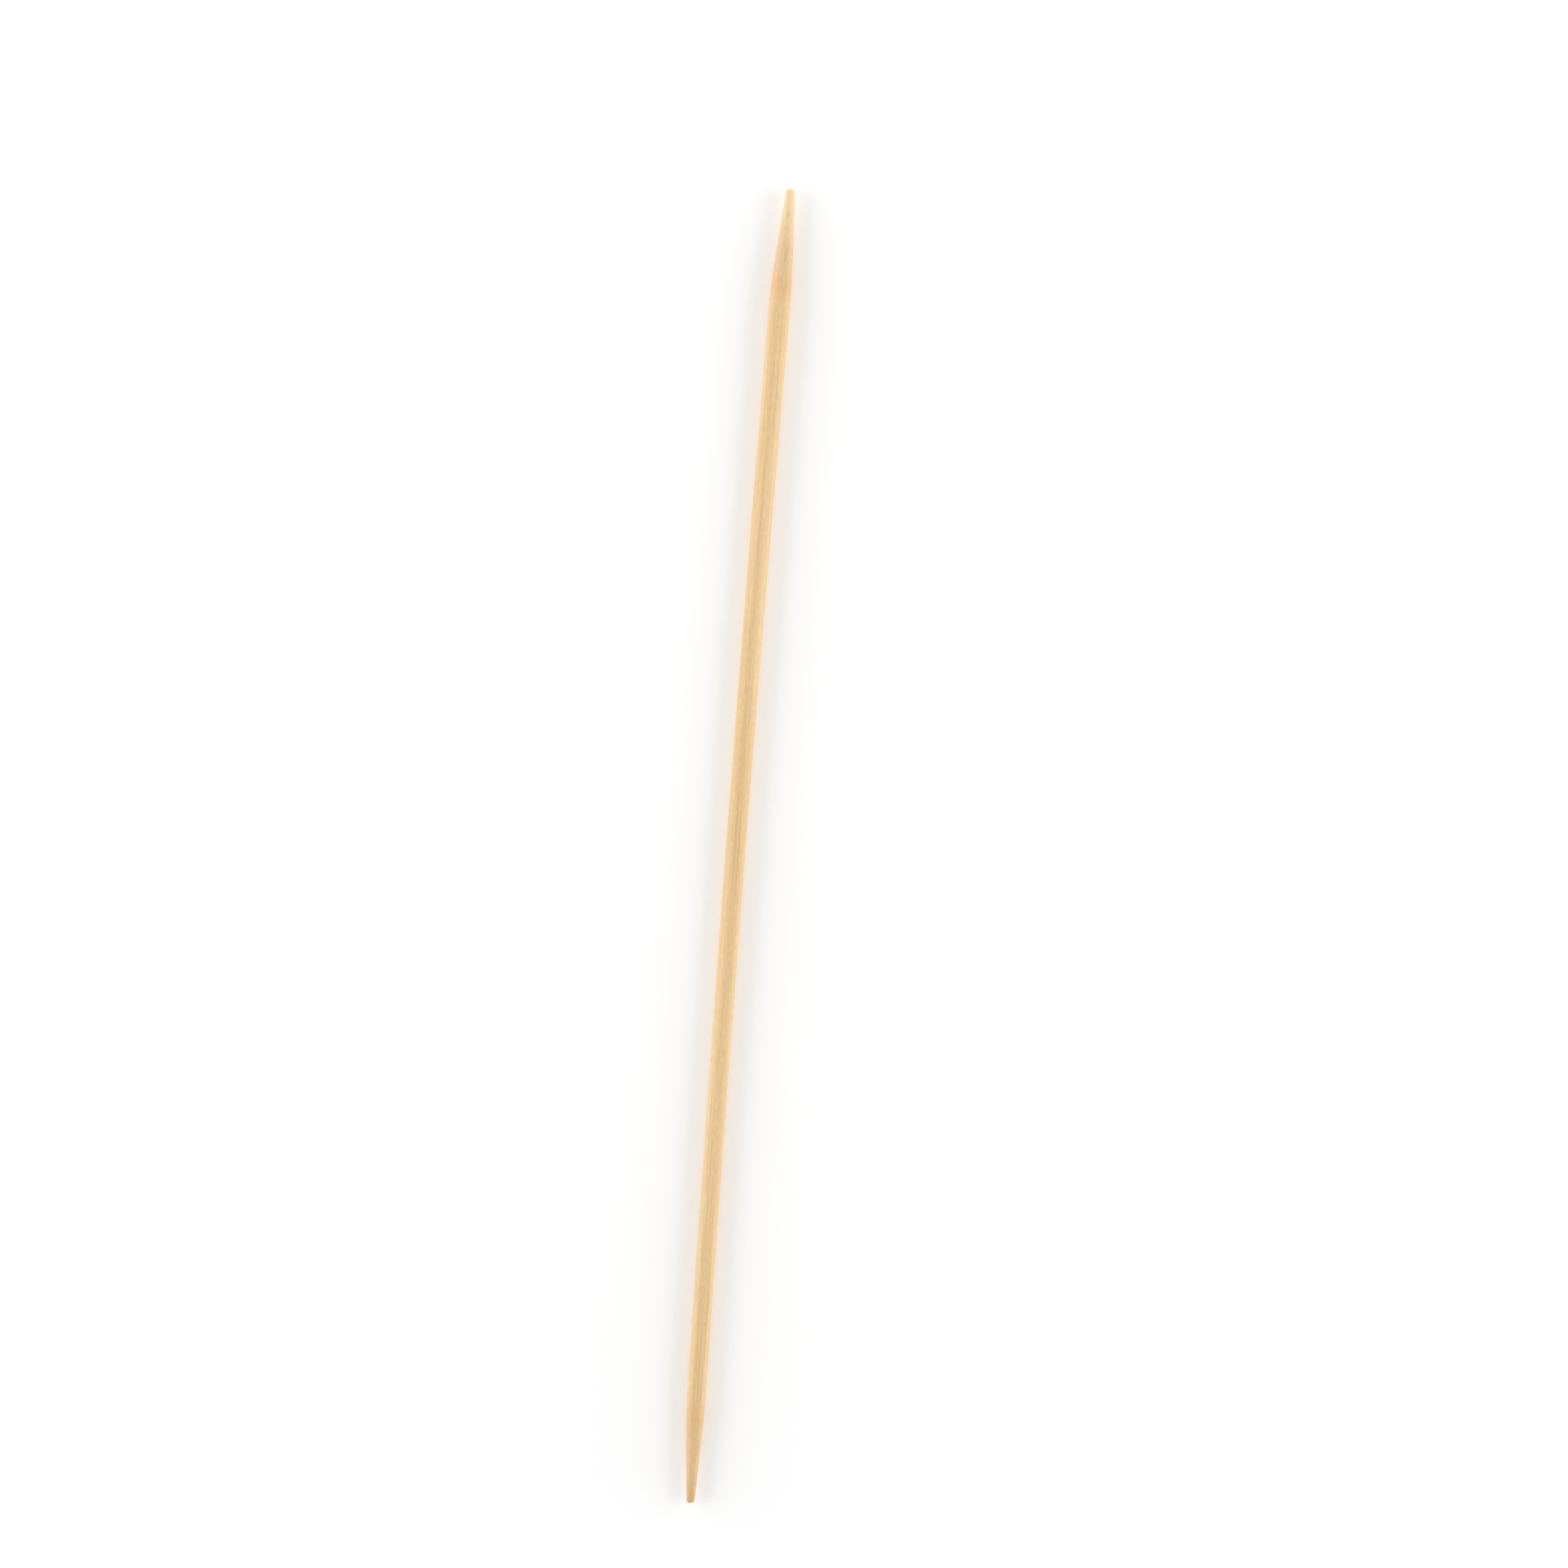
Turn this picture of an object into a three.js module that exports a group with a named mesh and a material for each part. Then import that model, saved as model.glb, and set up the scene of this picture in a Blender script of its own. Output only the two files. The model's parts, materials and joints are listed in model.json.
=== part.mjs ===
// A bamboo stick for skewering and holding food: one round rod, shaved to a long blunt point at each end.
//
// Millimetres, +Z up. The stick lies on a table along X, as it comes to rest: its slight bow is level with
// the table, the head's point is towards +X and the foot's point towards -X. The origin is on the table,
// under the middle of the stick.

import * as THREE from "three";

// The whole stick
const stickLength = 300; // from one blunt end to the other
const bow = 0.8; // how far the shaft's middle stands out to +Y from the line between its ends

// The shaft is a little thicker at the head than at the foot
const headShaftDiameter = 4.5;
const footShaftDiameter = 4.1;
const headSwell = 0.15; // what the head's shoulder adds to the shaft's diameter
const headSwellLength = 17;

// The two points
const headPointLength = 26;
const headTipDiameter = 1.95;
const headCutTilt = 7; // degrees that the saw cut is off square
const footPointLength = 25;
const footTipDiameter = 1.75;
const footCutTilt = 6;
const pointFullness = 1.35; // 1 is a straight cone, and more bulges towards the shoulder
const pointOffset = 0.2; // how far each tip lies to -Y of the shaft's middle line
const tipRounding = 0.25; // radius of the worn edge round each blunt end

// How finely the solid is divided
const sides = 36;
const pointRings = 13;
const shaftRings = 16;
const swellRings = 5;
const roundingRings = 3;

const footShoulder = footPointLength;
const headShoulder = stickLength - headPointLength;

// The shaft's radius at a distance along from the foot's end, with the swell below the head's shoulder.
function shaftRadius(along) {
  const share = (along - footShoulder) / (headShoulder - footShoulder);
  const plain = THREE.MathUtils.lerp(footShaftDiameter, headShaftDiameter, share) / 2;
  const fromShoulder = Math.min(1, (headShoulder - along) / headSwellLength);
  return plain + (headSwell / 4) * (1 + Math.cos(Math.PI * fromShoulder));
}

// A point's radius where depth is 0 at its tip and 1 at its shoulder.
function pointRadius(depth, tipDiameter, shoulderRadius) {
  const tipRadius = tipDiameter / 2;
  return tipRadius + (shoulderRadius - tipRadius) * (1 - (1 - depth) ** pointFullness);
}

const footRadius = (along) =>
  pointRadius(along / footPointLength, footTipDiameter, shaftRadius(footShoulder));
const headRadius = (along) =>
  pointRadius((stickLength - along) / headPointLength, headTipDiameter, shaftRadius(headShoulder));

// Even steps from one distance to another, with both ends.
const steps = (from, to, count) =>
  Array.from({ length: count + 1 }, (_, i) => THREE.MathUtils.lerp(from, to, i / count));

// The worn edge of an end: a quarter circle from the flat end to the side of the point, which is
// sideRadius across there. Distances are from the end.
function endEdge(sideRadius) {
  return steps(0, Math.PI / 2, roundingRings).map((turn) => ({
    radius: sideRadius - tipRounding * (1 - Math.sin(turn)),
    fromEnd: tipRounding * (1 - Math.cos(turn)),
  }));
}

// The outline that is turned about the stick's middle line, from the foot's end to the head's.
function outline() {
  const ring = (along, radius) => new THREE.Vector2(radius, along);
  const headStart = stickLength - tipRounding;
  const swellStart = headShoulder - headSwellLength;
  const footEdge = endEdge(footRadius(tipRounding));
  const headEdge = endEdge(headRadius(headStart)).reverse();
  return [
    ring(0, 0),
    ...footEdge.map((edge) => ring(edge.fromEnd, edge.radius)),
    ...steps(tipRounding, footShoulder, pointRings)
      .slice(1)
      .map((along) => ring(along, footRadius(along))),
    ...steps(footShoulder, swellStart, shaftRings)
      .slice(1)
      .map((along) => ring(along, shaftRadius(along))),
    ...steps(swellStart, headShoulder, swellRings)
      .slice(1)
      .map((along) => ring(along, shaftRadius(along))),
    ...steps(headShoulder, headStart, pointRings)
      .slice(1, -1)
      .map((along) => ring(along, headRadius(along))),
    ...headEdge.map((edge) => ring(stickLength - edge.fromEnd, edge.radius)),
    ring(stickLength, 0),
  ];
}

// How deep a place is in a point: 1 at the tip, 0 at the shoulder and all along the shaft.
const footDepth = (along) => Math.max(0, 1 - along / footPointLength);
const headDepth = (along) => Math.max(0, 1 - (stickLength - along) / headPointLength);

// The middle line's height over the table. It rises with the shaft's radius, so the shaft's underside lies
// flat along the table, and each point keeps its shoulder's height.
const middleHeight = (along) => shaftRadius(THREE.MathUtils.clamp(along, footShoulder, headShoulder));

// Turns the straight, evenly cut stick into the real one: bowed, with its points off centre and its ends
// cut off square, each longer on the +Y side.
function weather(geometry) {
  const place = geometry.getAttribute("position");
  const headSlope = Math.tan(THREE.MathUtils.degToRad(headCutTilt));
  const footSlope = Math.tan(THREE.MathUtils.degToRad(footCutTilt));
  for (let i = 0; i < place.count; i += 1) {
    const along = place.getX(i);
    const side = place.getY(i);
    const fromMiddle = (2 * along) / stickLength - 1;
    const inFoot = footDepth(along) ** 2;
    const inHead = headDepth(along) ** 2;
    place.setX(i, along + side * (headSlope * inHead - footSlope * inFoot));
    place.setY(i, side + bow * (1 - fromMiddle ** 2) - pointOffset * (inFoot + inHead));
    place.setZ(i, place.getZ(i) + middleHeight(along));
  }
  return geometry;
}

function stickGeometry() {
  const turned = new THREE.LatheGeometry(outline(), sides);
  turned.rotateZ(-Math.PI / 2); // the lathe turns about Y, and the stick lies along X
  return weather(turned);
}

const bamboo = new THREE.MeshStandardMaterial({ color: 0xe8c796, roughness: 0.6, metalness: 0 });

const stick = new THREE.Mesh(stickGeometry(), bamboo);
stick.name = "bamboo_stick";

// The middle of the bounding box is over the origin.
const middle = new THREE.Box3().setFromObject(stick, true).getCenter(new THREE.Vector3());
stick.position.set(-middle.x, -middle.y, 0);

const part = new THREE.Group();
part.add(stick);

export default part;
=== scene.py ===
import json
import math
import bmesh
import bpy
from mathutils import Matrix, Vector, noise


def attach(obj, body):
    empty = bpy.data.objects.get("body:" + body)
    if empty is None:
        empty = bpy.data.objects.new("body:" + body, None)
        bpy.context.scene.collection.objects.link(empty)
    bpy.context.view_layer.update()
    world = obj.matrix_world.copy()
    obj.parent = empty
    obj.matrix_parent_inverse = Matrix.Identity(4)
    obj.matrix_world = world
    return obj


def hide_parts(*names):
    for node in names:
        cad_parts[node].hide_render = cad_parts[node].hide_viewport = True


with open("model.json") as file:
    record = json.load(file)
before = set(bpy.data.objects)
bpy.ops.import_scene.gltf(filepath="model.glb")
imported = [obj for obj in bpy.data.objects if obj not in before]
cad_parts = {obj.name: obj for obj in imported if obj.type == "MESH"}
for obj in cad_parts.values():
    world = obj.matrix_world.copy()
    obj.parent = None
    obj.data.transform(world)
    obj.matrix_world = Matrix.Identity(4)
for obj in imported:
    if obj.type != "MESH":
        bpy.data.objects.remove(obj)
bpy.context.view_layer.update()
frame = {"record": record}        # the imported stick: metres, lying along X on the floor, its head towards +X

mounts = {mount["name"]: mount for mount in frame["record"]["mounts"]}
headEnd = Vector(mounts["head_end"]["pos_m"])     # middles of the two sawn ends
footEnd = Vector(mounts["foot_end"]["pos_m"])
headCut = Vector(mounts["head_end"]["axis"])      # the way each sawn end faces
footCut = Vector(mounts["foot_end"]["axis"])
shaftMiddle = Vector(mounts["shaft"]["pos_m"])

millimetre = 0.001
lengthMm = (headEnd.x - footEnd.x) / millimetre


# The camera looks down on the stick where it lies, from as far towards its head as the photograph's camera
# was above the standing stick. Pixels are the photograph's, from its top left corner.
view = {
    "photoSize": 1932,
    "headPixel": (975, 233),
    "footPixel": (850, 1852),
    "towardsHead": 18.6,      # degrees: 15 for the camera's height, and the rest for the stick's lean
    "distance": 3.54,         # metres
    "sensor": 36,             # millimetres
    "clip": (0.01, 50),       # metres
}


def makeCamera():
    middle = (headEnd + footEnd) / 2
    lean = math.radians(view["towardsHead"])
    away = Vector((math.sin(lean), 0, math.cos(lean)))
    imageUp = Vector((math.cos(lean), 0, -math.sin(lean)))
    imageRight = imageUp.cross(away)

    # How far each end is from the camera, and how far up the picture it would be through a lens of 1
    halfLength = (headEnd.x - footEnd.x) / 2
    headHeight = halfLength * math.cos(lean) / (view["distance"] - halfLength * math.sin(lean))
    footHeight = halfLength * math.cos(lean) / (view["distance"] + halfLength * math.sin(lean))

    head = Vector(view["headPixel"])
    foot = Vector(view["footPixel"])
    span = (head - foot).length
    pixelsPerSlope = span / (headHeight + footHeight)
    roll = math.atan2(head.x - foot.x, foot.y - head.y)

    # The stick's middle is off the picture's middle, so the camera aims beside it
    stickPixel = foot.lerp(head, footHeight / (headHeight + footHeight))
    centre = Vector((view["photoSize"] / 2, view["photoSize"] / 2))
    metresPerPixel = view["distance"] / pixelsPerSlope
    right = (centre.x - stickPixel.x) * metresPerPixel
    up = (stickPixel.y - centre.y) * metresPerPixel

    # A roll to the left turns the stick to the right in the picture
    turn = Matrix.Rotation(roll, 3, away)
    cameraUp = turn @ imageUp
    cameraRight = turn @ imageRight
    shift = cameraRight * right + cameraUp * up

    data = bpy.data.cameras.new("camera")
    data.sensor_width = view["sensor"]
    data.lens = pixelsPerSlope * view["sensor"] / view["photoSize"]
    data.clip_start, data.clip_end = view["clip"]
    camera = bpy.data.objects.new("camera", data)
    bpy.context.collection.objects.link(camera)
    axes = Matrix((cameraRight, cameraUp, away)).transposed().to_4x4()
    camera.matrix_world = Matrix.Translation(middle + away * view["distance"] + shift) @ axes
    bpy.context.scene.camera = camera


makeCamera()
print("camera placed")


# Short forms for building node trees


def addNode(tree, kind, **settings):
    made = tree.nodes.new(kind)
    for name, value in settings.items():
        setattr(made, name, value)
    return made


def colour(code):
    # An sRGB code as the linear colour that a socket takes
    parts = [int(code[i:i + 2], 16) / 255 for i in (0, 2, 4)]
    return [part / 12.92 if part < 0.04045 else ((part + 0.055) / 1.055) ** 2.4 for part in parts] + [1]


def vectorOf(tree, operation, first, second):
    # first is a socket, and second a plain vector or a socket
    made = addNode(tree, "ShaderNodeVectorMath", operation=operation)
    tree.links.new(first, made.inputs[0])
    if isinstance(second, tuple):
        made.inputs[1].default_value = second
    else:
        tree.links.new(second, made.inputs[1])
    return made.outputs[0]


def stretch(tree, grain, along, across):
    # The grain's space divided by how long and how wide the pattern's features are
    return vectorOf(tree, "DIVIDE", grain, (along, across, across))


def noiseOf(tree, grain, along, across, detail=2, roughness=0.5):
    pattern = addNode(tree, "ShaderNodeTexNoise")
    pattern.inputs["Scale"].default_value = 1
    pattern.inputs["Detail"].default_value = detail
    pattern.inputs["Roughness"].default_value = roughness
    tree.links.new(stretch(tree, grain, along, across), pattern.inputs["Vector"])
    return pattern


def rangeOf(tree, value, low, high, toLow=0, toHigh=1, smooth=True):
    # value between low and high as a share from toLow to toHigh
    mapped = addNode(tree, "ShaderNodeMapRange")
    if smooth:
        mapped.interpolation_type = "SMOOTHSTEP"
    tree.links.new(value, mapped.inputs["Value"])
    mapped.inputs["From Min"].default_value = low
    mapped.inputs["From Max"].default_value = high
    mapped.inputs["To Min"].default_value = toLow
    mapped.inputs["To Max"].default_value = toHigh
    return mapped.outputs["Result"]


def noiseMask(tree, grain, span, smooth=True, **size):
    pattern = noiseOf(tree, grain, **size)
    return rangeOf(tree, pattern.outputs["Fac"], *span, smooth=smooth)


def mathOf(tree, operation, first, second):
    made = addNode(tree, "ShaderNodeMath", operation=operation)
    for socket, value in zip(made.inputs, (first, second)):
        if isinstance(value, (int, float)):
            socket.default_value = value
        else:
            tree.links.new(value, socket)
    return made.outputs[0]


def blendOf(tree, factor, first, second, blend="MIX"):
    mixed = addNode(tree, "ShaderNodeMix", data_type="RGBA", blend_type=blend)
    sockets = (mixed.inputs["Factor"], mixed.inputs[6], mixed.inputs[7])
    for socket, value in zip(sockets, (factor, first, second)):
        if isinstance(value, (int, float, list)):
            socket.default_value = value
        else:
            tree.links.new(value, socket)
    return mixed.outputs[2]


def newMaterial(name):
    material = bpy.data.materials.new(name)
    material.use_nodes = True
    return material, material.node_tree, material.node_tree.nodes["Principled BSDF"]


# Two long soft lights low on both sides brighten the stick's flanks, and a white room fills the rest
room = {
    "fill": 0.61,             # the room's own light on everything
    "background": 1.0,        # what the camera sees past the floor
    "leftPower": 18,          # watts
    "rightPower": 17.3,
    "lampSize": (2.1, 1.2),   # metres along the stick, and up
    "lampDistance": 1.6,
    "lampHeight": 22,         # degrees above the floor
    "lampTurn": 14,           # degrees towards the head, whose sawn end is pale in the photograph
    "floorSize": 60,
    "floorColour": (0.99, 0.99, 0.99, 1),
    "floorRoughness": 0.9,
    "floorGlow": 0.04,        # what the camera sees on top, so that the lit floor is white
    "fadeFrom": 0.3,          # metres from the stick where the floor starts to fade into the background
    "fadeTo": 0.9,
}

white = (1, 1, 1, 1)


def makeLamp(name, side, power):
    data = bpy.data.lights.new(name, "AREA")
    data.shape = "RECTANGLE"
    data.size, data.size_y = room["lampSize"]
    data.energy = power
    lamp = bpy.data.objects.new(name, data)
    bpy.context.collection.objects.link(lamp)
    height = math.radians(room["lampHeight"])
    turn = math.radians(room["lampTurn"])
    level = Vector((math.sin(turn), side * math.cos(turn), 0)) * math.cos(height)
    place = (level + Vector((0, 0, math.sin(height)))) * room["lampDistance"]
    lamp.matrix_world = Matrix.Translation(place) @ place.to_track_quat("Z", "Y").to_matrix().to_4x4()


def makeWorld():
    world = bpy.data.worlds.new("room")
    world.use_nodes = True
    bpy.context.scene.world = world
    tree = world.node_tree
    tree.nodes.clear()

    # The camera sees the white background, and the stick's gloss mirrors it
    path = addNode(tree, "ShaderNodeLightPath").outputs
    seen = mathOf(tree, "MAXIMUM", path["Is Camera Ray"], path["Is Glossy Ray"])
    strength = rangeOf(tree, seen, 0, 1, room["fill"], room["background"], smooth=False)
    light = addNode(tree, "ShaderNodeBackground")
    light.inputs["Color"].default_value = white
    output = addNode(tree, "ShaderNodeOutputWorld")
    tree.links.new(strength, light.inputs["Strength"])
    tree.links.new(light.outputs[0], output.inputs["Surface"])


def floorMaterial():
    # The floor keeps the stick's shadow, and further off the camera sees it fade into the white background
    material, tree, shader = newMaterial("white floor")
    shader.inputs["Base Color"].default_value = room["floorColour"]
    shader.inputs["Roughness"].default_value = room["floorRoughness"]
    shader.inputs["Specular IOR Level"].default_value = 0
    shader.inputs["Emission Color"].default_value = white
    seen = addNode(tree, "ShaderNodeLightPath").outputs["Is Camera Ray"]
    tree.links.new(mathOf(tree, "MULTIPLY", seen, room["floorGlow"]), shader.inputs["Emission Strength"])

    distance = addNode(tree, "ShaderNodeVectorMath", operation="LENGTH")
    tree.links.new(addNode(tree, "ShaderNodeTexCoord").outputs["Object"], distance.inputs[0])
    far = rangeOf(tree, distance.outputs["Value"], room["fadeFrom"], room["fadeTo"])
    background = addNode(tree, "ShaderNodeEmission")
    background.inputs["Strength"].default_value = room["background"]
    mixed = addNode(tree, "ShaderNodeMixShader")
    tree.links.new(mathOf(tree, "MULTIPLY", far, seen), mixed.inputs[0])
    tree.links.new(shader.outputs[0], mixed.inputs[1])
    tree.links.new(background.outputs[0], mixed.inputs[2])
    tree.links.new(mixed.outputs[0], tree.nodes["Material Output"].inputs["Surface"])
    return material


def makeFloor():
    bm = bmesh.new()
    bmesh.ops.create_grid(bm, x_segments=1, y_segments=1, size=room["floorSize"] / 2)
    mesh = bpy.data.meshes.new("floor")
    bm.to_mesh(mesh)
    bm.free()
    mesh.materials.append(floorMaterial())
    floor = bpy.data.objects.new("floor", mesh)
    bpy.context.collection.objects.link(floor)


makeLamp("left light", 1, room["leftPower"])
makeLamp("right light", -1, room["rightPower"])
makeWorld()
makeFloor()
bpy.context.scene.view_settings.view_transform = "Standard"
print("room lit")


# The bamboo's grain runs along the stick. Every pattern is a solid one, worked out in the stick's own
# straight space in millimetres: X along it from the foot, Y and Z across it from its middle line.


def newGroup(name, masks):
    # A shader group that turns a place in the grain into masks
    group = bpy.data.node_groups.new(name, "ShaderNodeTree")
    group.interface.new_socket(name="Grain", in_out="INPUT", socket_type="NodeSocketVector")
    for mask in masks:
        group.interface.new_socket(name=mask, in_out="OUTPUT", socket_type="NodeSocketFloat")
    given = addNode(group, "NodeGroupInput").outputs["Grain"]
    return group, given, addNode(group, "NodeGroupOutput").inputs


# A span goes from where a pattern starts to show to where it shows wholly
fibre = {
    "wander": 0.35,           # how far the grain drifts sideways, and how slowly
    "wanderLength": 90,
    "wanderWidth": 2.5,
    "strandSpacing": 0.5,     # the darker strands, each round a thin vessel
    "strandLength": 70,
    "strandScatter": 0.85,
    "strandSpan": (0.45, 0.12),
    "vesselSpan": (0.24, 0.1),
}

# Broad soft bands of tone, single fibres, short soft flecks of lighter and darker wood, and open pores where
# the grain is cut at a slant
noises = {
    "Streaks": {"along": 120, "across": 1.1, "span": (0.3, 0.7)},
    "Fibres": {
        "along": 11, "across": 0.12, "detail": 3, "roughness": 0.6, "span": (0.3, 0.7), "smooth": False,
    },
    "Mottle": {"along": 1.6, "across": 0.26, "span": (0.3, 0.7), "smooth": False},
    "Specks": {"along": 1.2, "across": 0.11, "roughness": 0.7, "span": (0.52, 0.68)},
}


def grainGroup():
    group, grain, made = newGroup("bamboo grain", [*noises, "Strands", "Vessels"])
    wander = noiseOf(group, grain, fibre["wanderLength"], fibre["wanderWidth"], detail=1)
    centred = vectorOf(group, "SUBTRACT", wander.outputs["Color"], (0.5, 0.5, 0.5))
    sideways = vectorOf(group, "MULTIPLY", centred, (0, 2 * fibre["wander"], 2 * fibre["wander"]))
    grain = vectorOf(group, "ADD", grain, sideways)
    for name, pattern in noises.items():
        group.links.new(noiseMask(group, grain, **pattern), made[name])

    strands = addNode(group, "ShaderNodeTexVoronoi", feature="F1")
    strands.inputs["Scale"].default_value = 1
    strands.inputs["Randomness"].default_value = fibre["strandScatter"]
    space = stretch(group, grain, fibre["strandLength"], fibre["strandSpacing"])
    group.links.new(space, strands.inputs["Vector"])
    group.links.new(rangeOf(group, strands.outputs["Distance"], *fibre["strandSpan"]), made["Strands"])
    group.links.new(rangeOf(group, strands.outputs["Distance"], *fibre["vesselSpan"]), made["Vessels"])
    return group


# Where the grain is sawn across, each vessel is a dark pore in a slightly darker ring, not quite round
sawn = {
    "poreSpacing": 0.27,
    "poreDrift": 0.1,         # how far their edges wander
    "poreScatter": 0.7,
    "poreSpan": (0.26, 0.1),
    "ringSpan": (0.5, 0.15),
    "strengthSpan": (0.1, 0.8),   # some pores show more than others
    "dustWidth": 0.05,        # torn fibres and saw dust
    "dustDetail": 3,
    "dustRoughness": 0.7,
}


def poreGroup():
    group, grain, made = newGroup("bamboo pores", ["Pores", "Rings", "Dust"])
    links = group.links
    width = sawn["poreSpacing"] / 2
    wander = noiseOf(group, grain, width, width, detail=1)
    sideways = vectorOf(group, "MULTIPLY", wander.outputs["Color"], (sawn["poreDrift"],) * 3)
    apart = addNode(group, "ShaderNodeSeparateXYZ")
    links.new(vectorOf(group, "ADD", grain, sideways), apart.inputs[0])
    across = addNode(group, "ShaderNodeCombineXYZ")
    links.new(apart.outputs["Y"], across.inputs["X"])
    links.new(apart.outputs["Z"], across.inputs["Y"])

    pores = addNode(group, "ShaderNodeTexVoronoi", feature="F1", voronoi_dimensions="2D")
    pores.inputs["Scale"].default_value = 1 / sawn["poreSpacing"]
    pores.inputs["Randomness"].default_value = sawn["poreScatter"]
    links.new(across.outputs[0], pores.inputs["Vector"])
    strength = rangeOf(group, pores.outputs["Color"], *sawn["strengthSpan"])
    pore = rangeOf(group, pores.outputs["Distance"], *sawn["poreSpan"])
    links.new(mathOf(group, "MULTIPLY", pore, strength), made["Pores"])
    links.new(rangeOf(group, pores.outputs["Distance"], *sawn["ringSpan"]), made["Rings"])

    width = sawn["dustWidth"]
    dust = noiseOf(group, grain, width, width, sawn["dustDetail"], sawn["dustRoughness"])
    links.new(dust.outputs["Fac"], made["Dust"])
    return group


bambooGrain = grainGroup()
bambooPores = poreGroup()

tones = {
    "pale": "E8C898",         # the soft wood between the strands
    "warm": "E0BC88",         # its darker bands
    "strand": "C99D64",
    "vessel": "A9773F",
    "shoulder": "E0B07A",     # a browner band where the shaving starts
    "headCut": "E2C298",      # freshly cut wood on each point, paler at the head with painted light
    # painted light: the head's tip is paler, as if lit from above
    "headTip": "F4D8AE",
    "footCut": "E1BE8E",
    # painted shade: the foot's tip is darker, as if shaded near the floor
    "footTip": "D6AC79",
    "speck": "BE9160",
    "pore": "B18653",
}

# How much of each tone shows, from 0 to 1, and how much the cut tones together hide the shaft's
amounts = {
    "strand": 0.18,
    "vessel": 0.24,
    "cutStrand": 0.18,
    "cutVessel": 0.22,
    "speck": 0.15,
    "shoulder": 0.5,
    "cut": 0.85,
    "pore": 0.55,
    "poreRing": 0.15,
    "sawnStreak": 0.15,
}

# The darkest and lightest that each pattern makes the wood
shades = {
    "fibre": (0.93, 1.05),
    "mottle": (0.93, 1.07),
    "dust": (0.9, 1.12),
}

surface = {
    "headPaintedLightFade": 16,           # millimetres from each tip where its own tone starts: painted light at the head, painted shade at the foot
    "footPaintedShadeFade": 8,
    "drawnRoughness": 0.48,   # the shaft, which was drawn through a die
    "cutRoughness": 0.74,
    "fibreRoughness": 0.06,
    "sawnRoughness": 0.85,
    "specular": 0.45,
    "sawnSpecular": 0.3,
    "sheen": 0.12,
    "sheenRoughness": 0.4,
    "bump": 0.02,             # millimetres
    "bumpStrength": 0.6,
    "sawnBump": 0.03,
    "sawnBumpStrength": 0.8,
    "speckDepth": 0.8,        # how deep these are, as shares of the bump
    "vesselDepth": 0.9,
    "poreDepth": 1.5,
}


def attributeOf(tree, name, output):
    return addNode(tree, "ShaderNodeAttribute", attribute_name=name).outputs[output]


def placeGroup(tree, group, space):
    placed = addNode(tree, "ShaderNodeGroup", node_tree=group)
    tree.links.new(space, placed.inputs["Grain"])
    return placed.outputs


def addBump(tree, shader, height, distance, strength):
    bump = addNode(tree, "ShaderNodeBump")
    bump.inputs["Distance"].default_value = distance * millimetre
    bump.inputs["Strength"].default_value = strength
    tree.links.new(height, bump.inputs["Height"])
    tree.links.new(bump.outputs["Normal"], shader.inputs["Normal"])


def shaded(tree, wood, shade, pattern):
    # The wood made a little darker or lighter by a pattern
    level = rangeOf(tree, pattern, 0, 1, *shades[shade], smooth=False)
    grey = addNode(tree, "ShaderNodeCombineColor")
    for socket in grey.inputs[:3]:
        tree.links.new(level, socket)
    return blendOf(tree, 1.0, wood, grey.outputs[0], "MULTIPLY")


def tinted(tree, wood, tone, mask, amount):
    strength = mathOf(tree, "MULTIPLY", mask, amounts[amount])
    return blendOf(tree, strength, wood, colour(tones[tone]))


def cutWoodWithPaintedLight(tree, space):
    # Freshly cut wood, paler at the head than at the foot: the paler head and its paler tip are painted light,
    # and the darker foot tip is painted shade
    apart = addNode(tree, "ShaderNodeSeparateXYZ")
    tree.links.new(space, apart.inputs[0])
    along = apart.outputs["X"]
    towardsHead = rangeOf(tree, along, 0, lengthMm)
    paintedLightNearHead = rangeOf(tree, along, lengthMm - surface["headPaintedLightFade"], lengthMm)
    paintedShadeNearFoot = rangeOf(tree, along, surface["footPaintedShadeFade"], 0)
    # Painted light: the cut wood grows paler towards the head
    wood = blendOf(tree, towardsHead, colour(tones["footCut"]), colour(tones["headCut"]))
    # Painted light: the head's tip is paler still
    wood = blendOf(tree, paintedLightNearHead, wood, colour(tones["headTip"]))
    # Painted shade: the foot's tip is darker
    return blendOf(tree, paintedShadeNearFoot, wood, colour(tones["footTip"]))


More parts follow.
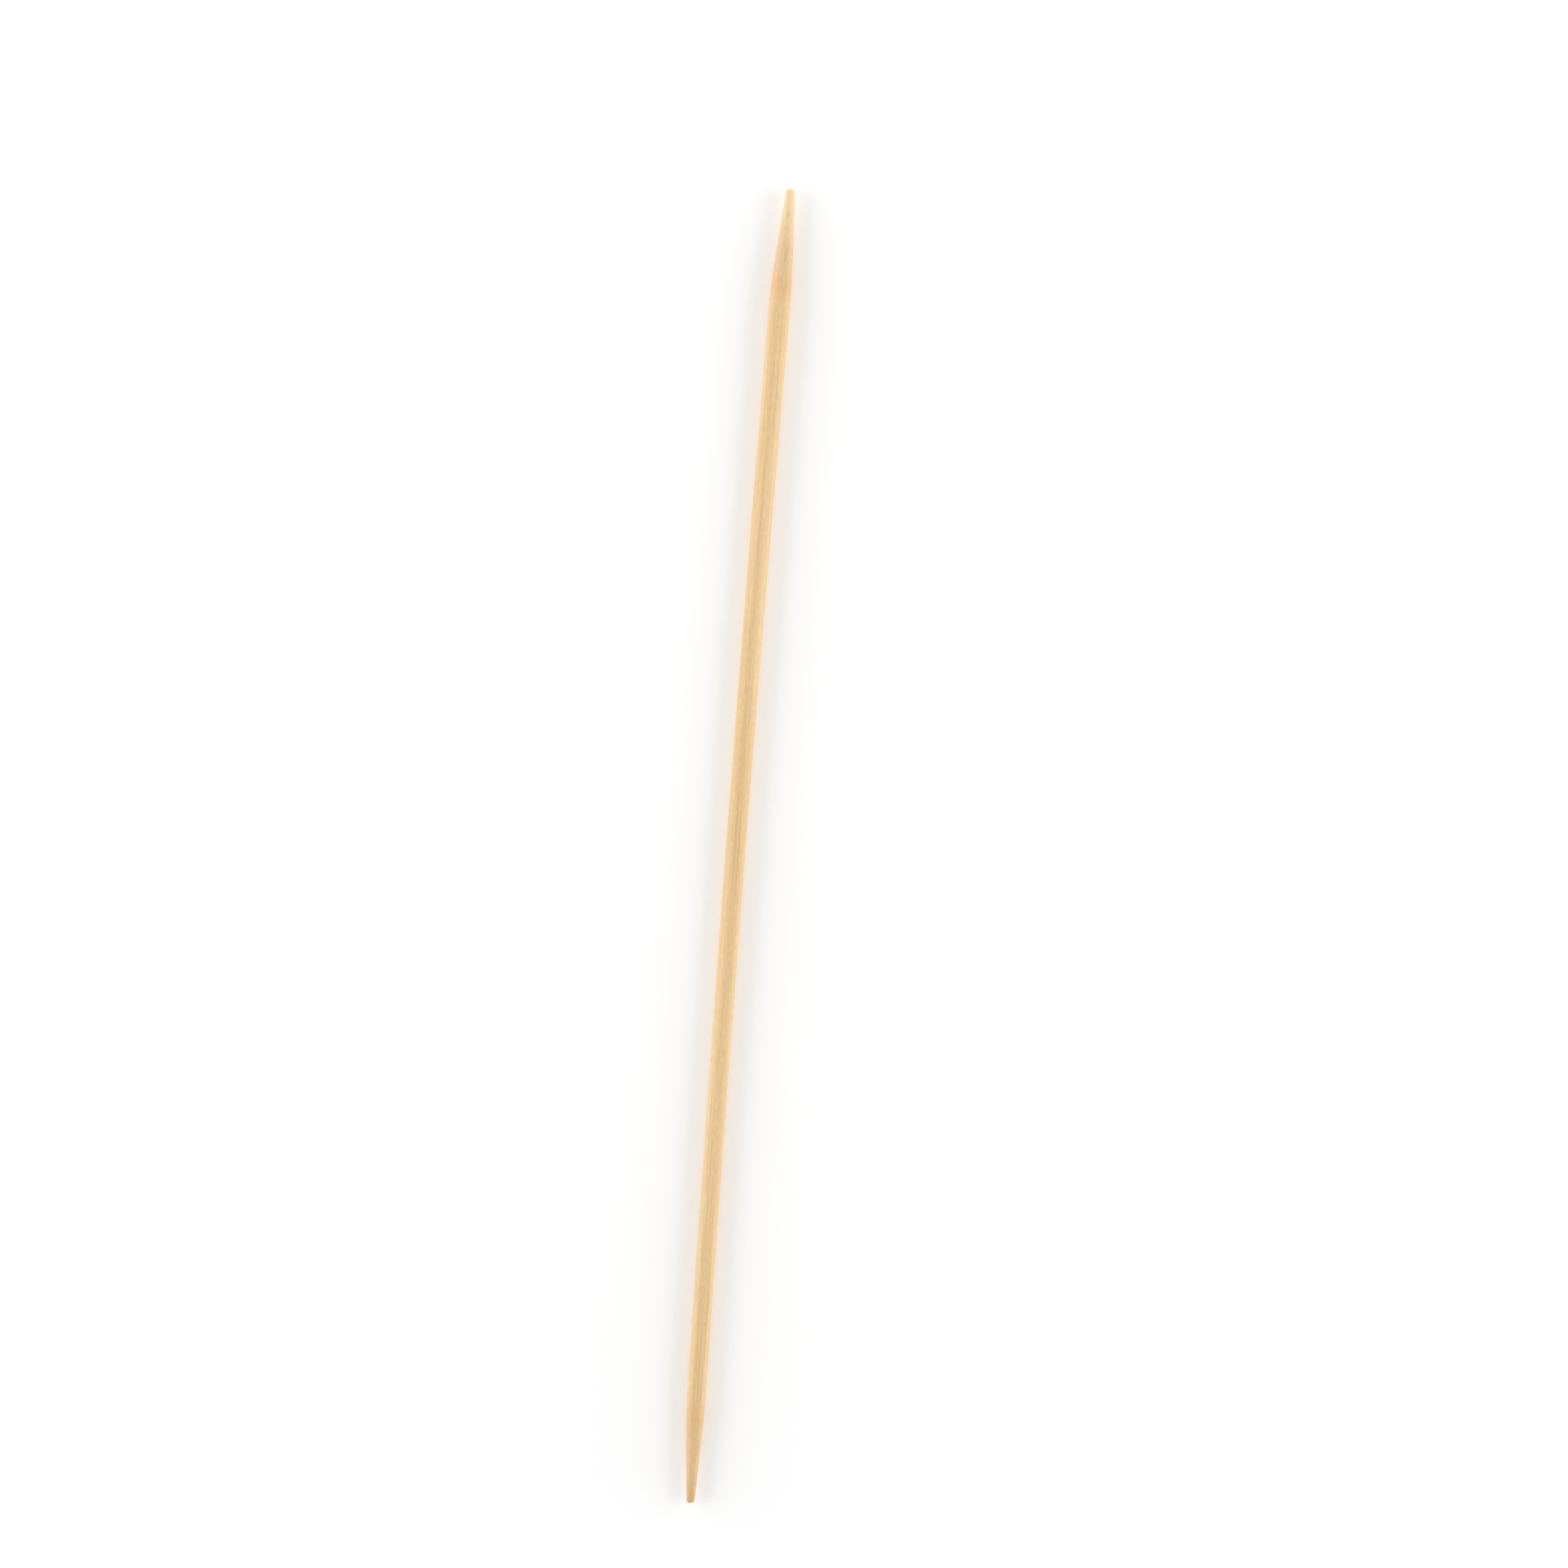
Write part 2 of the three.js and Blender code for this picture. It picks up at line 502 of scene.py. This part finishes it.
def shavedBamboo():
    material, tree, shader = newMaterial("bamboo shaved along the grain")
    space = attributeOf(tree, "grain", "Vector")
    cut = attributeOf(tree, "cut", "Fac")
    grain = placeGroup(tree, bambooGrain, space)

    wood = blendOf(tree, grain["Streaks"], colour(tones["warm"]), colour(tones["pale"]))
    wood = tinted(tree, wood, "strand", grain["Strands"], "strand")
    wood = tinted(tree, wood, "vessel", grain["Vessels"], "vessel")

    shaved = tinted(tree, cutWoodWithPaintedLight(tree, space), "strand", grain["Strands"], "cutStrand")
    shaved = tinted(tree, shaved, "vessel", grain["Vessels"], "cutVessel")
    shaved = tinted(tree, shaved, "speck", grain["Specks"], "speck")
    wood = blendOf(tree, mathOf(tree, "MULTIPLY", cut, amounts["cut"]), wood, shaved)

    # The browner band is strongest where the cut is half deep, and 4 brings it up to 1 there
    product = mathOf(tree, "MULTIPLY", cut, mathOf(tree, "SUBTRACT", 1, cut))
    wood = tinted(tree, wood, "shoulder", mathOf(tree, "MULTIPLY", product, 4), "shoulder")
    wood = shaded(tree, wood, "fibre", grain["Fibres"])
    wood = shaded(tree, wood, "mottle", grain["Mottle"])
    tree.links.new(wood, shader.inputs["Base Color"])

    rough = rangeOf(tree, cut, 0, 1, surface["drawnRoughness"], surface["cutRoughness"], smooth=False)
    spread = surface["fibreRoughness"]
    uneven = rangeOf(tree, grain["Fibres"], 0, 1, spread, -spread, smooth=False)
    tree.links.new(mathOf(tree, "ADD", rough, uneven), shader.inputs["Roughness"])
    shader.inputs["Specular IOR Level"].default_value = surface["specular"]
    shader.inputs["Sheen Weight"].default_value = surface["sheen"]
    shader.inputs["Sheen Roughness"].default_value = surface["sheenRoughness"]

    # Fibres stand up, and specks and vessels are sunk
    specks = mathOf(tree, "MULTIPLY", grain["Specks"], cut)
    specks = mathOf(tree, "MULTIPLY", specks, surface["speckDepth"])
    vessels = mathOf(tree, "MULTIPLY", grain["Vessels"], surface["vesselDepth"])
    height = mathOf(tree, "SUBTRACT", grain["Fibres"], specks)
    height = mathOf(tree, "SUBTRACT", height, vessels)
    addBump(tree, shader, height, surface["bump"], surface["bumpStrength"])
    return material


def sawnBamboo():
    material, tree, shader = newMaterial("bamboo sawn across the grain")
    space = attributeOf(tree, "grain", "Vector")
    grain = placeGroup(tree, bambooGrain, space)
    pores = placeGroup(tree, bambooPores, space)
    wood = tinted(tree, cutWoodWithPaintedLight(tree, space), "warm", grain["Streaks"], "sawnStreak")
    wood = tinted(tree, wood, "strand", pores["Rings"], "poreRing")
    wood = tinted(tree, wood, "pore", pores["Pores"], "pore")
    wood = shaded(tree, wood, "dust", pores["Dust"])
    tree.links.new(wood, shader.inputs["Base Color"])
    shader.inputs["Roughness"].default_value = surface["sawnRoughness"]
    shader.inputs["Specular IOR Level"].default_value = surface["sawnSpecular"]
    holes = mathOf(tree, "MULTIPLY", pores["Pores"], surface["poreDepth"])
    height = mathOf(tree, "SUBTRACT", pores["Dust"], holes)
    addBump(tree, shader, height, surface["sawnBump"], surface["sawnBumpStrength"])
    return material


print("bamboo mixed")


# The stick: a round rod, shaved to a long blunt point at each end. The fine relief only ever cuts inwards,
# so the stick never grows past its true size.
stick = {
    "sides": 132,
    "rings": 560,             # cuts across it, closest together near the two ends
    "endRings": 7,            # rings of faces on each sawn end
    "rounding": 0.0001,       # by how much places on the ends may differ
    "headShaft": 4.5,         # millimetres: the shaft's diameters at its two shoulders
    "footShaft": 4.1,
    "headSwell": 0.15,        # what the head's shoulder adds, and over what length
    "headSwellLength": 17,
    "headPoint": 26,
    "headTip": 1.95,
    "footPoint": 25,
    "footTip": 1.75,
    "pointFullness": 1.35,
    "pointOffset": 0.2,       # how far each tip is to -Y of the shaft's middle line
    "rimRadius": 0.25,
    "sawnRim": 0.14,          # how far from each end the wood looks sawn across
    "cutFrom": 0.06,          # how deep the wood is shaved where it starts to look cut, and how much
    "cutOver": 0.28,          # deeper where it looks wholly cut
}

# What the drawing die, the shaving wheel and the saw leave on it, in millimetres
relief = {
    "contrast": 1.6,          # brings each noise up to its whole range
    "lobeDepth": 0.035,       # the section isn't quite round
    "lobeCount": 1.3,
    "lobeLength": 110,
    "fluteDepth": 0.03,       # long shallow flutes
    "fluteWidth": 0.55,
    "fluteLength": 38,
    "scratchDepth": 0.035,    # narrow grooves where a fibre pulled out
    "scratchWidth": 0.2,
    "scratchLength": 16,
    "scratchRarity": 0.78,    # from 0, everywhere, to 1, nowhere
    "facetDepth": 0.05,       # flats that the shaving wheel leaves round the points
    "facetCount": 7,
    "facetDrift": 1.2,
    "facetLength": 9,
    "chatterDepth": 0.012,    # fine steps along the points
    "chatterPitch": 0.9,
    "chatterDrift": 5,
    "chatterLength": 3,
    "pointStart": 1 / 6,      # the share of a point over which its marks set in
    "sawDepth": 0.03,
    "sawPitch": 0.22,
    "sawSlant": 0.4,
    "sawDrift": 3,
    "tornWidth": 0.25,        # fibres torn by the saw
}

# Where each pattern of the relief is in the noise
seeds = {"lobes": 7, "flutes": 31, "scratches": 57, "facets": 20, "chatter": 43, "saw": 3, "torn": 11}

footShoulder = stick["footPoint"]
headShoulder = lengthMm - stick["headPoint"]


def shaftRadius(along):
    # Past a shoulder it stays as it is there
    along = min(max(along, footShoulder), headShoulder)
    share = (along - footShoulder) / (headShoulder - footShoulder)
    plain = (stick["footShaft"] + (stick["headShaft"] - stick["footShaft"]) * share) / 2
    fromShoulder = min(1, (headShoulder - along) / stick["headSwellLength"])
    return plain + stick["headSwell"] / 4 * (1 + math.cos(math.pi * fromShoulder))


def pointRadius(depth, tip, shoulderRadius):
    return tip / 2 + (shoulderRadius - tip / 2) * (1 - (1 - depth) ** stick["pointFullness"])


def inPoints(along):
    # How far into the head's and the foot's point a place is, from 0 at the shoulder to 1 at the tip
    inHead = max(0, 1 - (lengthMm - along) / stick["headPoint"])
    inFoot = max(0, 1 - along / stick["footPoint"])
    return inHead, inFoot


def sideRadius(along):
    inHead, inFoot = inPoints(along)
    if inHead > 0:
        return pointRadius(1 - inHead, stick["headTip"], shaftRadius(along))
    if inFoot > 0:
        return pointRadius(1 - inFoot, stick["footTip"], shaftRadius(along))
    return shaftRadius(along)


def rimDrop(fromEnd):
    # How far the worn rim is inside the plain radius
    rim = stick["rimRadius"]
    level = max(0, 1 - fromEnd / rim)
    return rim * (1 - math.sqrt(1 - level * level))


def smoothNoise(seed, x, y, z):
    # From 0 to 1
    level = noise.noise(Vector((x + seeds[seed], y, z)))
    return 0.5 + 0.5 * max(-1, min(1, relief["contrast"] * level))


def roundNoise(seed, along, length, angle, count):
    # Noise that closes round the stick, with this many features in its radius
    return smoothNoise(seed, along / length, count * math.cos(angle), count * math.sin(angle))


def wave(place, pitch, shift):
    return 0.5 + 0.5 * math.sin(2 * math.pi * place / pitch + shift)


def sideDepth(along, angle, radius):
    # How deep the relief is at a place on the side
    lobes = roundNoise("lobes", along, relief["lobeLength"], angle, relief["lobeCount"])
    flutes = roundNoise("flutes", along, relief["fluteLength"], angle, radius / relief["fluteWidth"])
    pulled = roundNoise("scratches", along, relief["scratchLength"], angle, radius / relief["scratchWidth"])
    scratches = max(0, pulled - relief["scratchRarity"]) / (1 - relief["scratchRarity"])
    depth = relief["lobeDepth"] * lobes + relief["fluteDepth"] * flutes + relief["scratchDepth"] * scratches

    shown = min(1, max(inPoints(along)) / relief["pointStart"])
    if shown > 0:
        turned = relief["facetDrift"] * roundNoise("facets", along, relief["facetLength"], angle, 1)
        facets = 1 - abs(math.sin(relief["facetCount"] * angle / 2 + turned))
        shift = relief["chatterDrift"] * roundNoise("chatter", along, relief["chatterLength"], angle, 1)
        chatter = wave(along, relief["chatterPitch"], shift)
        depth += shown * (relief["facetDepth"] * facets + relief["chatterDepth"] * chatter)
    return depth


def endDepth(y, z, share):
    # How deep the saw marks are at a place on an end, and none on its rim
    shift = relief["sawDrift"] * smoothNoise("saw", y, z, 0)
    saw = wave(y + relief["sawSlant"] * z, relief["sawPitch"], shift)
    torn = smoothNoise("torn", y / relief["tornWidth"], z / relief["tornWidth"], 0)
    return relief["sawDepth"] * (saw + torn) / 2 * (1 - share ** 4)


def makeStick():
    # A plain cylinder of radius 1 and length 1, cut into rings
    bm = bmesh.new()
    bmesh.ops.create_cone(bm, cap_ends=True, segments=stick["sides"], radius1=1, radius2=1, depth=1)
    lengthwise = [edge for edge in bm.edges if edge.verts[0].co.z * edge.verts[1].co.z < 0]
    bmesh.ops.subdivide_edges(bm, edges=lengthwise, cuts=stick["rings"], use_grid_fill=True)
    ends = [face for face in bm.faces if len(face.verts) == stick["sides"]]
    thickness = 1 / (stick["endRings"] + 1)
    for end in ends:
        for _ in range(stick["endRings"]):
            bmesh.ops.inset_region(bm, faces=[end], thickness=thickness, use_even_offset=False)
    bmesh.ops.poke(bm, faces=ends)
    farthest = max(vertex.co.z for vertex in bm.verts) - stick["rounding"]
    onEnd = {vertex for vertex in bm.verts if abs(vertex.co.z) > farthest}

    # Each vertex of the plain cylinder goes to its place on the stick, and keeps its place in the straight
    # grain, in millimetres, and how much the wood looks cut there
    grain = bm.verts.layers.float_vector.new("grain")
    cut = bm.verts.layers.float.new("cut")
    bow = shaftMiddle.y - headEnd.y - stick["pointOffset"] * millimetre
    headSlope = -headCut.y / headCut.x
    footSlope = -footCut.y / footCut.x
    for vertex in bm.verts:
        share = min(1, math.hypot(vertex.co.x, vertex.co.y))
        angle = math.atan2(vertex.co.y, vertex.co.x)
        # Half a turn of a sine draws the rings together at both ends
        along = lengthMm * (1 + math.sin(math.pi * vertex.co.z)) / 2
        radius = sideRadius(along)
        depth = sideDepth(along, angle, radius)
        shaved = shaftRadius(along) - radius + depth
        vertex[cut] = min(1, max(0, shaved - stick["cutFrom"]) / stick["cutOver"])

        worn = (radius - rimDrop(min(along, lengthMm - along)) - depth) * share
        y = worn * math.cos(angle)
        z = worn * math.sin(angle)
        if vertex in onEnd:
            along += endDepth(y, z, share) * (1 if along < lengthMm / 2 else -1)
        vertex[grain] = Vector((along, y, z))

        # The stick's bow, its tips off centre and its slanting ends
        inHead, inFoot = inPoints(along)
        fromMiddle = 2 * along / lengthMm - 1
        level = headEnd.y + bow * (1 - fromMiddle ** 2)
        offset = stick["pointOffset"] * (1 - inHead ** 2 - inFoot ** 2)
        slant = headSlope * inHead ** 2 + footSlope * inFoot ** 2
        vertex.co.x = footEnd.x + (along + y * slant) * millimetre
        vertex.co.y = level + (y + offset) * millimetre
        vertex.co.z = (shaftRadius(along) + z) * millimetre

    for face in bm.faces:
        face.smooth = True
        fromEnd = max(min(vertex[grain].x, lengthMm - vertex[grain].x) for vertex in face.verts)
        face.material_index = 1 if fromEnd < stick["sawnRim"] else 0
    bmesh.ops.recalc_face_normals(bm, faces=bm.faces)

    mesh = bpy.data.meshes.new("bamboo")
    bm.to_mesh(mesh)
    bm.free()
    mesh.materials.append(shavedBamboo())
    mesh.materials.append(sawnBamboo())
    piece = bpy.data.objects.new("bamboo", mesh)
    bpy.context.collection.objects.link(piece)
    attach(piece, "root")
    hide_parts("bamboo_stick")


makeStick()
print("stick made")
